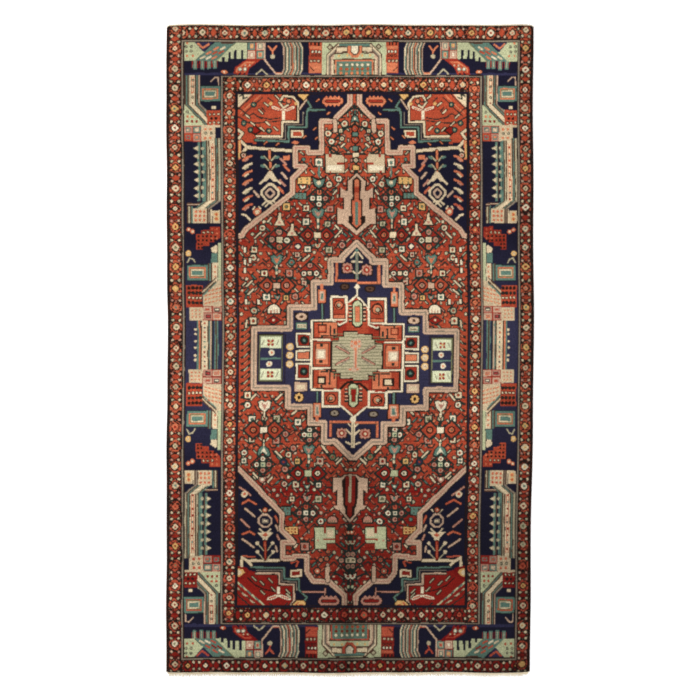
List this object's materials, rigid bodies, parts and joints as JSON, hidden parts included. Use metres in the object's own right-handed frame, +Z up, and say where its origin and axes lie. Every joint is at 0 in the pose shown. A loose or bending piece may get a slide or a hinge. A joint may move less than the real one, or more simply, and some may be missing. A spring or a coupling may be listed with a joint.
{
  "type": "area rug",
  "caption": "Hand-knotted rectangular area rug with a stepped medallion, four stepped corners, three borders, overcast sides and cut warp ends.",
  "frame": {"origin": "centre of the flat underside, midway between the two overcast sides and the two knotted ends", "axes": "+X across the rug to its right side, +Y along it to its top end, +Z up out of the pile"},
  "size_m": [1.4996, 2.6755, 0.01],
  "materials": {
    "rust_wool": "matte wool pile, rust red",
    "madder_wool": "matte wool pile, deep madder red",
    "navy_wool": "matte wool pile, navy blue",
    "border_wool": "matte wool pile, mixed greens and navy",
    "sage_wool": "matte wool pile, sage green",
    "dark_wool": "matte overcast wool, dark brown",
    "cotton": "undyed twisted cotton, unglazed"
  },
  "bodies": {
    "root": {"woven_foundation": "cotton", "pile_outer_guard_left": "rust_wool", "pile_main_border_left": "border_wool", "pile_inner_guard_left": "rust_wool", "pile_outer_guard_right": "rust_wool", "pile_main_border_right": "border_wool", "pile_inner_guard_right": "rust_wool", "pile_outer_guard_bottom": "rust_wool", "pile_main_border_bottom": "border_wool", "pile_inner_guard_bottom": "rust_wool", "pile_outer_guard_top": "rust_wool", "pile_main_border_top": "border_wool", "pile_inner_guard_top": "rust_wool", "pile_corner_top_left": "navy_wool", "pile_corner_top_right": "navy_wool", "pile_corner_bottom_left": "navy_wool", "pile_corner_bottom_right": "navy_wool", "pile_medallion": "sage_wool", "pile_field_upper": "rust_wool", "pile_field_lower": "madder_wool", "selvedge_wrap_left": "dark_wool", "selvedge_core_left": "cotton", "selvedge_wrap_right": "dark_wool", "selvedge_core_right": "cotton", "end_cord_bottom": "cotton", "flat_weave_bottom": "cotton", "fringe_bottom": "cotton", "end_cord_top": "cotton", "flat_weave_top": "cotton", "fringe_top": "cotton"}
  },
  "joints": []
}
